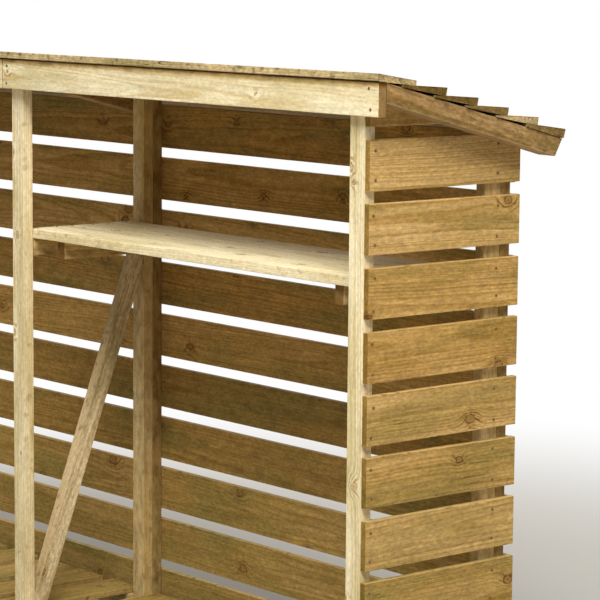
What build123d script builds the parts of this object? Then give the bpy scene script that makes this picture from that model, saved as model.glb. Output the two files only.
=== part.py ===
from build123d import *
from math import asin, atan, cos, sin, tan
import os

# Two-bay open-fronted log store in softwood.
# Millimetres. X runs along the front, Y to the back, Z up.
# The origin is on the ground, in the middle of the roof's plan.

# Frame
bay_clear = 1027
post_w = 40
post_d = 25
front_top_z = 1282
frame_d = 363
rail_t = 25
rail_h = 37
arris = 1

# Boards of the sides and the back
board_w = 92
board_t = 13
board_gap = 22
first_board_z = 60
wedge_tip = 6

# Roof: feather-edged boards, thin along the front edge and thick along the back one
rake_fall = 0.26
rafter_w = 43
rafter_h = 36
rafter_end_lean = 19
roof_thin_t = 4
roof_thick_t = 16
roof_board_w = 107
front_board_w = 92
front_board_t = 14
front_board_back_t = 10
eaves_board_w = 101
front_board_nose = 5
second_board_y = 35
roof_exposure = 77
roof_end_past = 4

# Fascia
fascia_t = 19
fascia_h = 61
fascia_joint_past_post = 6
fascia_joint_gap = 1

# Base and floor
sill_top_z = 92
floor_slat_w = 92
floor_slat_t = 13
floor_slat_count = 8
floor_slat_pitch = 128

# Shelf of the right bay
shelf_top_z = 928
shelf_t = 19
shelf_board_w = 88
shelf_board_gap = 3
shelf_board_count = 3
shelf_clearance = 1
batten_inset = 95
batten_setback = 12

# Brace of the middle frame
brace_w = 37
brace_foot_z = 143
brace_top_setback = 24

# Along X: the posts, the rafters and the ends of the roof
frame_half = bay_clear + 1.5 * post_w
wall_half = frame_half + board_t
fascia_half = wall_half + rafter_w
roof_half = fascia_half + roof_end_past
post_xs = {"left": -frame_half + post_w / 2, "middle": 0, "right": frame_half - post_w / 2}
fascia_joint_x = -post_w / 2 - fascia_joint_past_post

# The lap of the roof: each board's front edge lies on the rafters, and its thick back edge on
# the face of the next board
rake = atan(rake_fall)
roof_step = roof_exposure / cos(rake)
roof_taper_t = roof_thick_t - roof_thin_t
taper = atan(roof_taper_t / roof_board_w)
board_tilt = rake - asin(roof_thick_t * cos(taper) / roof_step) + taper
face_tilt = board_tilt - taper
lapped_boards = int((frame_d + board_t - second_board_y) / roof_exposure)

# The front board lies on the back edge of the fascia and on the face of the second board
first_lap_y = second_board_y + roof_thin_t * sin(board_tilt)
first_lap_drop = rake_fall * second_board_y - roof_thin_t * cos(board_tilt)
first_lap_offset = first_lap_drop * cos(face_tilt) - first_lap_y * sin(face_tilt)
roof_nose = fascia_t + front_board_nose
front_board_tilt = face_tilt + asin(first_lap_offset / (front_board_w - roof_nose))

# The eaves board lies flat on the rafters, as thick as fits under the last lapped board
eaves_board_y = second_board_y + lapped_boards * roof_exposure
eaves_end_y = eaves_board_y + eaves_board_w * cos(rake)
eaves_lap = roof_board_w * cos(rake - board_tilt) - roof_step
eaves_lap_t = roof_board_w * sin(rake - board_tilt)
eaves_thin_t = eaves_lap_t - roof_taper_t / eaves_board_w * eaves_lap
eaves_thick_t = eaves_thin_t + roof_taper_t

# Along Y, from the front face of the posts
roof_tail = eaves_end_y + eaves_thick_t * sin(rake)
front_y = (roof_nose - roof_tail) / 2
upright_y = front_y + frame_d - post_d
back_y = front_y + frame_d
side_end_y = back_y + board_t

# Heights
row_pitch = board_w + board_gap
rafter_drop = rafter_h / cos(rake)
shelf_under_z = shelf_top_z - shelf_t


def rafter_line_z(y):
    """Height of the rafters' top edge at a place along Y."""
    return front_top_z - rake_fall * (y - front_y)


# The space above the rafters' top edge, taken off the posts and side boards
with BuildPart() as above_rake:
    with BuildSketch(Plane.YZ.offset(-roof_half)):
        with BuildLine():
            low_y = front_y - roof_nose
            high_y = side_end_y + roof_nose
            Polyline(
                (low_y, rafter_line_z(low_y)),
                (high_y, rafter_line_z(high_y)),
                (high_y, 2 * front_top_z),
                (low_y, 2 * front_top_z),
                close=True,
            )
        make_face()
    extrude(amount=2 * roof_half)


def bar_along_x(x_from, x_to, y_low, depth, z_low, height):
    """A sawn bar that runs along the front, with eased long edges."""
    with BuildPart() as bar:
        with BuildSketch(Plane.YZ.offset(x_from)) as section:
            with Locations((y_low + depth / 2, z_low + height / 2)):
                Rectangle(depth, height)
            chamfer(section.vertices(), arris)
        extrude(amount=x_to - x_from)
    return bar


def bar_along_y(y_from, y_to, x_low, width, z_low, height):
    """A sawn bar that runs from front to back, with eased long edges."""
    with BuildPart() as bar:
        with BuildSketch(Plane.XZ.offset(-y_from)) as section:
            with Locations((x_low + width / 2, z_low + height / 2)):
                Rectangle(width, height)
            chamfer(section.vertices(), arris)
        extrude(amount=y_from - y_to)
    return bar


def post(x_mid, y_low, width, depth):
    """An upright on the ground, its top cut to the rake."""
    with BuildPart() as upright:
        with BuildSketch(Plane.XY) as section:
            with Locations((x_mid, y_low + depth / 2)):
                Rectangle(width, depth)
            chamfer(section.vertices(), arris)
        extrude(amount=front_top_z)
        add(above_rake.part, mode=Mode.SUBTRACT)
    return upright


def save(piece, label):
    """Name a finished piece and write its file."""
    piece.part.label = label
    export_step(piece.part, f"parts/{label}.step")


os.makedirs("parts", exist_ok=True)

# Front posts, behind the fascia
for side, x_mid in post_xs.items():
    front_post = post(x_mid, front_y, post_w, post_d)
    save(front_post, f"front_post_{side}")

# Rear posts: on edge against the side boards, face on in the middle frame
for side, x_mid in post_xs.items():
    if side == "middle":
        rear_post = post(x_mid, upright_y - post_d, post_w, post_d)
    else:
        outward = 1 if side == "right" else -1
        edge_x = outward * (frame_half - rail_t / 2)
        rear_post = post(edge_x, upright_y - post_w, rail_t, post_w)
    save(rear_post, f"rear_post_{side}")

# Uprights that the back boards are nailed to
for side, x_mid in post_xs.items():
    back_upright = post(x_mid, upright_y, post_w, post_d)
    save(back_upright, f"back_upright_{side}")

# Side walls: spaced boards in level rows, the top one cut to a wedge under the roof
wall_rows = []
row_z = first_board_z
while rafter_line_z(front_y) - row_z > 2 * wedge_tip:
    run_to_tip = (rafter_line_z(front_y) - row_z - wedge_tip) / rake_fall
    wall_rows.append((row_z, min(side_end_y - front_y, run_to_tip)))
    row_z += row_pitch

for side, x_low in (("left", -wall_half), ("right", frame_half)):
    with BuildPart() as side_boards:
        for row_z, row_length in wall_rows:
            with BuildSketch(Plane.XZ.offset(-front_y)) as section:
                with Locations((x_low + board_t / 2, row_z + board_w / 2)):
                    Rectangle(board_t, board_w)
                chamfer(section.vertices(), arris)
            extrude(amount=-row_length)
        add(above_rake.part, mode=Mode.SUBTRACT)
    save(side_boards, f"side_boards_{side}")

# Back wall: the same rows, as far up as whole boards fit below the rafters
back_rows = [z for z, _ in wall_rows if z + board_w < rafter_line_z(side_end_y)]
with BuildPart() as back_boards:
    for row_z in back_rows:
        with BuildSketch(Plane.YZ.offset(-frame_half)) as section:
            with Locations((back_y + board_t / 2, row_z + board_w / 2)):
                Rectangle(board_t, board_w)
            chamfer(section.vertices(), arris)
        extrude(amount=2 * frame_half)
save(back_boards, "back_boards")

# Sills along the front and the back, and the base rails between them
sill_z = sill_top_z - rail_h
front_sill = bar_along_x(-frame_half, frame_half, front_y + post_d, rail_t, sill_z, rail_h)
save(front_sill, "front_sill")

edge_post_x = frame_half - rail_t
back_sill_spans = {"left": (-edge_post_x, -post_w / 2), "right": (post_w / 2, edge_post_x)}
for side, (x_from, x_to) in back_sill_spans.items():
    back_sill = bar_along_x(x_from, x_to, upright_y - rail_t, rail_t, sill_z, rail_h)
    save(back_sill, f"back_sill_{side}")

rail_xs = {"left": -frame_half, "middle": post_w / 2 - rail_t, "right": edge_post_x}
rear_post_ys = {
    "left": upright_y - post_w,
    "middle": upright_y - post_d,
    "right": upright_y - post_w,
}
base_rail_y = front_y + post_d + rail_t
for side, x_low in rail_xs.items():
    base_rail = bar_along_y(base_rail_y, rear_post_ys[side], x_low, rail_t, sill_z, rail_h)
    save(base_rail, f"base_rail_{side}")

# Floor: slats from the front sill to the back one
bay_mids = {"left": -(post_w + bay_clear) / 2, "right": (post_w + bay_clear) / 2}
slat_plane_y = front_y + post_d
for side, bay_x in bay_mids.items():
    with BuildPart() as floor_slats:
        with BuildSketch(Plane.XZ.offset(-slat_plane_y)) as section:
            with Locations((bay_x, sill_top_z + floor_slat_t / 2)):
                with GridLocations(floor_slat_pitch, 0, floor_slat_count, 1):
                    Rectangle(floor_slat_w, floor_slat_t)
            chamfer(section.vertices(), arris)
        extrude(amount=slat_plane_y - upright_y)
    save(floor_slats, f"floor_slats_{side}")

# Shelf: its ends lie on a rail in each frame, and two battens hold its boards together
shelf_y = front_y + post_d + shelf_clearance
shelf_rail_z = shelf_under_z - rail_h
for side in ("middle", "right"):
    shelf_rail = bar_along_y(
        front_y + post_d, rear_post_ys[side], rail_xs[side], rail_t, shelf_rail_z, rail_h
    )
    save(shelf_rail, f"shelf_rail_{side}")

shelf_pitch = shelf_board_w + shelf_board_gap
shelf_depth = shelf_board_count * shelf_pitch - shelf_board_gap
with BuildPart() as shelf_boards:
    with BuildSketch(Plane.YZ.offset(rail_xs["middle"])) as section:
        with Locations((shelf_y + shelf_depth / 2, shelf_under_z + shelf_t / 2)):
            with GridLocations(shelf_pitch, 0, shelf_board_count, 1):
                Rectangle(shelf_board_w, shelf_t)
        chamfer(section.vertices(), arris)
    extrude(amount=frame_half - rail_xs["middle"])
save(shelf_boards, "shelf_boards")

batten_xs = {
    "left": rail_xs["middle"] + batten_inset,
    "right": frame_half - batten_inset - rail_t,
}
for side, x_low in batten_xs.items():
    shelf_batten = bar_along_y(
        shelf_y + batten_setback,
        shelf_y + shelf_depth,
        x_low,
        rail_t,
        shelf_rail_z,
        rail_h,
    )
    save(shelf_batten, f"shelf_batten_{side}")

# Brace of the middle frame: from the foot of the front post to the underside of the shelf
# rail, cut to the post, the sill, the rail and the rear post
brace_front_y = front_y + post_d
brace_rear_y = rear_post_ys["middle"]
brace_top_y = brace_rear_y - brace_top_setback
brace_slope = (shelf_rail_z - brace_foot_z) / (brace_top_y - brace_front_y)
brace_drop = brace_w * (1 + brace_slope**2) ** 0.5
brace_rear_z = brace_foot_z + brace_slope * (brace_rear_y - brace_front_y) - brace_drop
with BuildPart() as middle_brace:
    with BuildSketch(Plane.YZ.offset(rail_xs["middle"])):
        with BuildLine():
            Polyline(
                (brace_front_y, brace_foot_z - brace_drop),
                (brace_front_y, brace_foot_z),
                (brace_top_y, shelf_rail_z),
                (brace_rear_y, shelf_rail_z),
                (brace_rear_y, brace_rear_z),
                close=True,
            )
        make_face()
        with Locations((brace_front_y, sill_top_z)):
            Rectangle(
                brace_rear_y - brace_front_y,
                2 * brace_drop,
                align=(Align.MIN, Align.MAX),
                mode=Mode.SUBTRACT,
            )
    extrude(amount=rail_t)
    chamfer(middle_brace.edges().sort_by(SortBy.LENGTH)[-4:], arris)
save(middle_brace, "middle_brace")

# Rafters: the outer ones lie against the side boards and run on under the eaves board,
# the middle one stands beside the middle post and stops at the back boards
rafter_x_lows = {
    "left": -wall_half - rafter_w,
    "middle": -post_w / 2 - rafter_w,
    "right": wall_half,
}
for side, x_low in rafter_x_lows.items():
    if side == "middle":
        top_end_y = back_y
        lower_end_y = back_y
    else:
        top_end_y = front_y + eaves_end_y
        lower_end_y = top_end_y - rafter_end_lean
    with BuildPart() as rafter:
        with BuildSketch(Plane.YZ.offset(x_low)):
            with BuildLine():
                Polyline(
                    (front_y, rafter_line_z(front_y)),
                    (top_end_y, rafter_line_z(top_end_y)),
                    (lower_end_y, rafter_line_z(lower_end_y) - rafter_drop),
                    (front_y, rafter_line_z(front_y) - rafter_drop),
                    close=True,
                )
            make_face()
        extrude(amount=rafter_w)
        chamfer(rafter.edges().sort_by(SortBy.LENGTH)[-4:], arris)
    save(rafter, f"rafter_{side}")

# Fascia in two lengths, butted over the middle rafter
fascia_spans = {
    "left": (-fascia_half, fascia_joint_x - fascia_joint_gap / 2),
    "right": (fascia_joint_x + fascia_joint_gap / 2, fascia_half),
}
for side, (x_from, x_to) in fascia_spans.items():
    fascia = bar_along_x(
        x_from, x_to, front_y - fascia_t, fascia_t, front_top_z - fascia_h, fascia_h
    )
    save(fascia, f"fascia_{side}")


def roof_board(number, y_low, z_low, tilt, width, front_t, back_t):
    """A roof board whose lower front edge is at the given place, tilted down to the back."""
    board_plane = Plane(
        origin=(-roof_half, y_low, z_low), x_dir=(0, cos(tilt), -sin(tilt)), z_dir=(1, 0, 0)
    )
    with BuildPart() as board:
        with BuildSketch(board_plane) as section:
            with BuildLine():
                Polyline((0, 0), (width, 0), (width, back_t), (0, front_t), close=True)
            make_face()
            corners = section.vertices().sort_by(Axis.X)
            thick_edge = corners[-2:] if back_t > front_t else corners[:2]
            chamfer(thick_edge, arris)
        extrude(amount=2 * roof_half)
    save(board, f"roof_board_{number}")


# Roof: a front board with its thick edge over the fascia, lapped boards, and an eaves board
# that lies flat on the rafters
nose_z = front_top_z + roof_nose * tan(front_board_tilt)
roof_board(
    1,
    front_y - roof_nose,
    nose_z,
    front_board_tilt,
    front_board_w,
    front_board_t,
    front_board_back_t,
)
for step in range(lapped_boards):
    lap_y = front_y + second_board_y + step * roof_exposure
    lap_z = rafter_line_z(lap_y)
    roof_board(2 + step, lap_y, lap_z, board_tilt, roof_board_w, roof_thin_t, roof_thick_t)
eaves_y = front_y + eaves_board_y
eaves_z = rafter_line_z(eaves_y)
roof_board(
    2 + lapped_boards, eaves_y, eaves_z, rake, eaves_board_w, eaves_thin_t, eaves_thick_t
)
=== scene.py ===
import math
import bpy
import bmesh
from functools import partial
from mathutils import Matrix, Vector


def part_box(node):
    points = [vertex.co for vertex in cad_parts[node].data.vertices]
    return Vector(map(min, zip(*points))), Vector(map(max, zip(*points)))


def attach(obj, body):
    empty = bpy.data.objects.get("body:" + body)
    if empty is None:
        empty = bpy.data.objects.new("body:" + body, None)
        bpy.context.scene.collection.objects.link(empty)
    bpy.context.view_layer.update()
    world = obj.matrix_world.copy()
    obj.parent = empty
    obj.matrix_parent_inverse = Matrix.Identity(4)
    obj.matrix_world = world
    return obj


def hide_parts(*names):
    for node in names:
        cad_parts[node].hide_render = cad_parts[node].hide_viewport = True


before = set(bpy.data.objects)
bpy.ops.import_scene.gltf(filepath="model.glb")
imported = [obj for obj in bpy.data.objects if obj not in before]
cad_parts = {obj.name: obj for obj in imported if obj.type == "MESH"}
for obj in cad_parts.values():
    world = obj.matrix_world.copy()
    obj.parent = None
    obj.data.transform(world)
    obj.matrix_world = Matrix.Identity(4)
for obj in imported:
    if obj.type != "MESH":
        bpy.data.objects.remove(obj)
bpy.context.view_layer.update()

# Two-bay softwood log store. Metres, X along the front, Y to the back, Z up.
mm = 0.001
print("frame loaded:", len(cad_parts), "nodes")


def toLinear(hexColour):
    # sRGB hex to the linear colour that the shader takes
    parts = [int(hexColour[i:i + 2], 16) / 255 for i in (1, 3, 5)]
    return tuple(p / 12.92 if p <= 0.04045 else ((p + 0.055) / 1.055) ** 2.4 for p in parts) + (1,)


def addNode(tree, kind, sources=(), **settings):
    # kind is the node's type, with its operation after a space where it has one;
    # sources are values, sockets or nodes, by place in a list or by key in a dictionary.
    # A map range takes its value, then from where to where, then to where to where (0 to 1 if left out).
    kind, _, operation = kind.partition(" ")
    node = tree.nodes.new(kind)
    if operation:
        node.operation = operation
    for key, value in settings.items():
        setattr(node, key, value)
    pairs = sources.items() if isinstance(sources, dict) else enumerate(sources)
    for key, value in pairs:
        if isinstance(value, bpy.types.Node):
            value = value.outputs[0]
        if isinstance(value, bpy.types.NodeSocket):
            tree.links.new(value, node.inputs[key])
        else:
            node.inputs[key].default_value = value
    return node


def newShader(owner):
    # empties the nodes of a material or a world; returns it and the function that adds new ones
    owner.use_nodes = True
    owner.node_tree.nodes.clear()
    return owner, partial(addNode, owner.node_tree)


def newTree(name, inputs):
    # a node group with named inputs by kind; returns it, the function that adds nodes, and its inputs
    tree = bpy.data.node_groups.new(name, "GeometryNodeTree")
    for kind, keys in inputs.items():
        for key in keys:
            tree.interface.new_socket(name=key, in_out="INPUT", socket_type="NodeSocket" + kind)
    tree.interface.new_socket(name="Geometry", in_out="OUTPUT", socket_type="NodeSocketGeometry")
    add = partial(addNode, tree)
    return tree, add, add("NodeGroupInput").outputs


def newObject(name, data):
    made = bpy.data.objects.new(name, data)
    bpy.context.scene.collection.objects.link(made)
    return made


smooth = {"interpolation_type": "SMOOTHSTEP"}

# Camera, floor and light
studio = {
    "cameraPlace": (4.4639, -3.2153, 1.4938), "lens": 154.36, "sensor": 36, "farthest": 200,
    "yaw": 49.751, "pitch": 7.563, "roll": 0.48,  # degrees, yaw from the back towards the left end
    "keyPlace": (3.4, -2.6, 5.3), "keySize": 3.2, "keyPower": 480,
    "fillPlace": (-3.4, 3.2, 3.0), "fillSize": 3.0, "fillPower": 100, "aim": (0.3, 0.0, 0.65),
    "skyColour": "#f2f2f0", "skyStrength": 0.42,
    "skyLow": 0.3, "skyFull": 0.7,  # share of that at the horizon, and how steep a look upwards meets all
    "floorColour": "#c2beb6", "floorHalf": 60.0, "floorDrop": 0.4 * mm,
    "floorClearRadius": 1.4, "floorWhiteRadius": 3.2,
}


def makeCamera(look):
    yaw, pitch, roll = (math.radians(look[k]) for k in ("yaw", "pitch", "roll"))
    ahead = Vector((-math.sin(yaw) * math.cos(pitch), math.cos(yaw) * math.cos(pitch), -math.sin(pitch)))
    level = Vector((math.cos(yaw), math.sin(yaw), 0))
    upright = level.cross(ahead)
    right = math.cos(roll) * level + math.sin(roll) * upright
    top = math.cos(roll) * upright - math.sin(roll) * level
    data = bpy.data.cameras.new("camera")
    data.lens = look["lens"]
    data.sensor_width = look["sensor"]
    data.clip_end = look["farthest"]
    camera = newObject("camera", data)
    turn = Matrix((right, top, -ahead)).transposed().to_4x4()
    camera.matrix_world = Matrix.Translation(look["cameraPlace"]) @ turn
    bpy.context.scene.camera = camera


def seenShare(add):
    # 1 for rays from the camera, from something glossy or from glass, and 0 for those that light the piece
    rays = add("ShaderNodeLightPath").outputs
    seen = add("ShaderNodeMath MAXIMUM", [rays["Is Camera Ray"], rays["Is Glossy Ray"]])
    return add("ShaderNodeMath MAXIMUM", [seen, rays["Is Transmission Ray"]])


def makeFloor(look):
    # matt painted board, with no gloss of its own, which fades to plain white round the piece
    material, add = newShader(bpy.data.materials.new("paleStudioFloor"))
    place = add("ShaderNodeTexCoord").outputs["Object"]
    radius = add("ShaderNodeVectorMath LENGTH", [place]).outputs["Value"]
    fade = add("ShaderNodeMapRange", [radius, look["floorClearRadius"], look["floorWhiteRadius"]], **smooth)
    share = add("ShaderNodeMath MULTIPLY", [seenShare(add), fade])
    matt = add("ShaderNodeBsdfDiffuse", {"Color": toLinear(look["floorColour"])})
    white = add("ShaderNodeEmission", {"Color": (1, 1, 1, 1), "Strength": 1.0})
    add("ShaderNodeOutputMaterial", [add("ShaderNodeMixShader", [share, matt, white])])
    half = look["floorHalf"]
    mesh = bpy.data.meshes.new("floor")
    mesh.from_pydata([(-half, -half, 0), (half, -half, 0), (half, half, 0), (-half, half, 0)], [], [(0, 1, 2, 3)])
    mesh.materials.append(material)
    floor = newObject("floor", mesh)
    floor.location.z = -look["floorDrop"]


def makeLamp(name, look):
    data = bpy.data.lights.new(name + "Light", "AREA")
    data.shape = "DISK"
    data.size = look[name + "Size"]
    data.energy = look[name + "Power"]
    lamp = newObject(name + "Light", data)
    lamp.location = look[name + "Place"]
    lamp.rotation_euler = (Vector(look["aim"]) - lamp.location).to_track_quat("-Z", "Y").to_euler()


def makeSky(look):
    bpy.context.scene.world, add = newShader(bpy.data.worlds.new("softSky"))
    upward = add("ShaderNodeSeparateXYZ", [add("ShaderNodeTexCoord").outputs["Generated"]]).outputs[2]
    full = look["skyStrength"]
    strength = add("ShaderNodeMapRange", [upward, 0.0, look["skyFull"], full * look["skyLow"], full])
    sky = add("ShaderNodeBackground", [toLinear(look["skyColour"]), strength])
    white = add("ShaderNodeBackground", [(1, 1, 1, 1), 1.0])
    add("ShaderNodeOutputWorld", [add("ShaderNodeMixShader", [seenShare(add), sky, white])])


bpy.context.scene.view_settings.view_transform = "Standard"
makeCamera(studio)
makeFloor(studio)
makeLamp("key", studio)
makeLamp("fill", studio)
makeSky(studio)
print("camera, floor and light made")


# Timber: one tree makes a row of sawn boards, or a single one, in the row's own directions.
# It leaves three attributes on the points, which the wood reads: grain is the place in the tree
# trunk, in metres from its heart; place is how far a point lies from the board's end, long edge
# and face; tint is how brown the board is there, which takes in painted shade and some stain along its top edge.
timberInputs = {
    "Vector": ("Origin", "Along", "Across", "Through", "Start cut", "End cut", "Bow", "Slip"),
    "Float": ("Length", "Width", "Thickness", "Pitch", "Roof line", "Roof fall", "Wedge tip", "Feather",
              "Arris", "Wear", "Uneven", "Ragged", "Heart", "Tone", "Tone spread", "Foot tone", "Edge tone"),
    "Int": ("Count", "Steps", "Columns", "Seed"),
    "Material": ("Material",),
}
sawing = {
    "layers": 4,  # rows of points through a board's thickness
    "wearScale": 26.0, "dipScale": (9.0, 30.0, 30.0), "splinterScale": 110.0, "bowScale": 1.3,  # per metre
    "easing": 0.29,  # share of the arris that comes off its corner
    "endEasing": 0.6,  # share of that along the board
    "nextBoard": (7.31, 3.7),  # keeps one board's wear and bow from showing on the next
    "trunkSpan": 40.0, "trunkDrift": 0.04, "heartLeast": 0.35,
    "edgeToneFrom": 0.52,  # of half the width, from the middle, where the painted shade and stain along the top edge start
}


def makeTimberTree(look):
    tree, add, given = newTree("sawnTimber", timberInputs)
    half, one = (0.5, 0.5, 0.5), (1, 1, 1)

    # unit blocks, one on another, each with its number
    block = add("GeometryNodeMeshCube", {
        "Vertices X": given["Steps"], "Vertices Y": given["Columns"], "Vertices Z": look["layers"]})
    block = add("GeometryNodeStoreNamedAttribute", {
        "Geometry": block, "Name": "unit", "Value": add("GeometryNodeInputPosition")}, data_type="FLOAT_VECTOR")
    spots = add("GeometryNodeMeshLine", {"Count": given["Count"], "Offset": (0, 0, 0)})
    boards = add("GeometryNodeInstanceOnPoints", {"Points": spots, "Instance": block})
    boards = add("GeometryNodeStoreNamedAttribute", {
        "Geometry": boards, "Name": "number", "Value": add("GeometryNodeInputIndex")},
        data_type="INT", domain="INSTANCE")
    boards = add("GeometryNodeRealizeInstances", [boards])
    unit = add("GeometryNodeInputNamedAttribute", {"Name": "unit"}, data_type="FLOAT_VECTOR").outputs[0]
    number = add("GeometryNodeInputNamedAttribute", {"Name": "number"}, data_type="INT").outputs[0]

    # three random numbers from 0 to 1 for each of a board's slip, heart and tint, and the same from -0.5 to 0.5
    rolls, swings = [], []
    for extra in (0, 101, 202):
        seed = add("ShaderNodeMath ADD", [given["Seed"], extra])
        roll = add("FunctionNodeRandomValue", {"ID": number, "Seed": seed}, data_type="FLOAT_VECTOR")
        rolls.append(add("ShaderNodeSeparateXYZ", [roll]).outputs)
        swings.append(add("ShaderNodeSeparateXYZ", [add("ShaderNodeVectorMath SUBTRACT", [roll, half])]).outputs)
    slip = add("ShaderNodeSeparateXYZ", [given["Slip"]]).outputs

    # a row's last board ends where the roof line leaves only the wedge's tip
    lift = add("ShaderNodeMath MULTIPLY", [number, given["Pitch"]])
    halfWidth = add("ShaderNodeMath MULTIPLY", [given["Width"], 0.5])
    boardLow = add("ShaderNodeMath SUBTRACT", [lift, halfWidth])
    room = add("ShaderNodeMath SUBTRACT", [given["Roof line"], boardLow])
    room = add("ShaderNodeMath SUBTRACT", [room, given["Wedge tip"]])
    room = add("ShaderNodeMath DIVIDE", [room, given["Roof fall"]])
    length = add("ShaderNodeMath MINIMUM", [given["Length"], room])
    shortened = add("ShaderNodeMath MULTIPLY", [slip[0], rolls[0][0]])
    length = add("ShaderNodeMath SUBTRACT", [length, shortened])

    # outermost points lie on the faces, the next ones an arris further in
    whole = add("ShaderNodeCombineXYZ", [length, given["Width"], given["Thickness"]])
    reach = add("ShaderNodeVectorMath SCALE", {0: whole, "Scale": 0.5})
    counts = add("ShaderNodeCombineXYZ", [given["Steps"], given["Columns"], look["layers"]])
    gaps = add("ShaderNodeVectorMath SUBTRACT", [counts, one])
    inner = add("ShaderNodeVectorMath DIVIDE", [one, gaps])
    inner = add("ShaderNodeVectorMath SUBTRACT", [half, inner])
    sign = add("ShaderNodeVectorMath SIGN", [unit])
    size = add("ShaderNodeVectorMath ABSOLUTE", [unit])
    outer = add("ShaderNodeVectorMath MULTIPLY_ADD", [size, (2, 2, 2), (1e-4, 1e-4, 1e-4)])
    outer = add("ShaderNodeVectorMath FLOOR", [outer])
    arris = add("ShaderNodeCombineXYZ", [given["Arris"]] * 3)
    inset = add("ShaderNodeVectorMath SUBTRACT", [reach, arris])
    stretched = add("ShaderNodeVectorMath DIVIDE", [unit, inner])
    stretched = add("ShaderNodeVectorMath MULTIPLY", [stretched, inset])
    faced = add("ShaderNodeVectorMath MULTIPLY", [sign, reach])
    square = add("ShaderNodeMix", {1: outer, 4: stretched, 5: faced}, data_type="VECTOR",
                 factor_mode="NON_UNIFORM").outputs[1]
    shift = add("ShaderNodeMath MULTIPLY", [number, look["nextBoard"][0]])
    shift = add("ShaderNodeCombineXYZ", [shift, given["Seed"], 0.0])
    noisePlace = add("ShaderNodeVectorMath ADD", [square, shift])

    # arrises are eased and, in places, worn or waney; faces dip a little; ends splinter: all of it inwards
    outers = add("ShaderNodeVectorMath DOT_PRODUCT", [outer, one]).outputs["Value"]
    onArris = add("ShaderNodeMath GREATER_THAN", [outers, 1.5])
    dents = add("ShaderNodeTexNoise", {"Vector": noisePlace, "Scale": look["wearScale"], "Detail": 3.0})
    dents = add("ShaderNodeMapRange", [dents, 0.5, 0.75, 0.0, given["Wear"]])
    pull = add("ShaderNodeMath MULTIPLY_ADD", [given["Arris"], look["easing"], dents])
    pull = add("ShaderNodeMath MULTIPLY", [pull, onArris])
    flow = add("ShaderNodeVectorMath MULTIPLY", [noisePlace, look["dipScale"]])
    dip = add("ShaderNodeTexNoise", {"Vector": flow, "Scale": 1.0})
    dip = add("ShaderNodeMath MULTIPLY_ADD", [dip, given["Uneven"], pull])
    splinter = add("ShaderNodeTexNoise", {"Vector": noisePlace, "Scale": look["splinterScale"], "Detail": 3.0})
    splinter = add("ShaderNodeMath MULTIPLY", [splinter, given["Ragged"]])
    splinter = add("ShaderNodeMath MULTIPLY_ADD", [pull, look["endEasing"], splinter])
    inward = add("ShaderNodeCombineXYZ", [splinter, dip, dip])
    inward = add("ShaderNodeVectorMath MULTIPLY", [inward, outer])
    inward = add("ShaderNodeVectorMath MULTIPLY", [inward, sign])
    sawn = add("ShaderNodeVectorMath SUBTRACT", [square, inward])
    sawnX, sawnY, sawnZ = add("ShaderNodeSeparateXYZ", [sawn]).outputs

    # ends are square, or slope across or through the board
    share = add("ShaderNodeMath ADD", [add("ShaderNodeMath DIVIDE", [sawnX, length]), 0.5])
    cuts = [add("ShaderNodeVectorMath DOT_PRODUCT", [given[name], sawn]).outputs["Value"]
            for name in ("Start cut", "End cut")]
    shear = add("ShaderNodeMix", {0: share, 2: cuts[0], 3: cuts[1]})
    along = add("ShaderNodeMath ADD", [sawnX, add("ShaderNodeMath MULTIPLY", [length, 0.5])])
    along = add("ShaderNodeMath ADD", [along, shear])
    along = add("ShaderNodeMath MULTIPLY_ADD", [shortened, 0.5, along])

    # bow, feather edge, and how truly the board was nailed on
    slow = add("ShaderNodeMath MULTIPLY_ADD", [number, look["nextBoard"][1], along])
    slow = add("ShaderNodeCombineXYZ", [slow, given["Seed"], 0.0])
    sway = add("ShaderNodeTexNoise", {"Vector": slow, "Scale": look["bowScale"], "Detail": 0.0}).outputs["Color"]
    sway = add("ShaderNodeVectorMath MULTIPLY", [sway, given["Bow"]])
    swayY, swayZ = add("ShaderNodeSeparateXYZ", [sway]).outputs[1:3]
    turned = add("ShaderNodeMath MULTIPLY", [swings[0][2], slip[2]])
    turned = add("ShaderNodeMath MULTIPLY", [turned, add("ShaderNodeMath SUBTRACT", [share, 0.5])])
    slid = add("ShaderNodeMath MULTIPLY_ADD", [swings[0][1], slip[1], turned])
    across = add("ShaderNodeMath ADD", [add("ShaderNodeMath ADD", [sawnY, swayY]), slid])
    across = add("ShaderNodeMath ADD", [across, lift])
    under = add("ShaderNodeMath MULTIPLY", [along, given["Roof fall"]])
    under = add("ShaderNodeMath SUBTRACT", [given["Roof line"], under])
    across = add("ShaderNodeMath MINIMUM", [across, under])
    ratio = add("ShaderNodeMath DIVIDE", [sawnY, halfWidth])
    thinned = add("ShaderNodeMath MULTIPLY_ADD", [ratio, -0.5, 0.5])
    thinned = add("ShaderNodeMath MULTIPLY", [given["Feather"], thinned])
    bottom = add("ShaderNodeMath MULTIPLY", [given["Thickness"], 0.5])
    thinned = add("ShaderNodeMath MULTIPLY", [thinned, add("ShaderNodeMath ADD", [sawnZ, bottom])])
    through = add("ShaderNodeMath ADD", [add("ShaderNodeMath SUBTRACT", [sawnZ, thinned]), swayZ])

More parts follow.
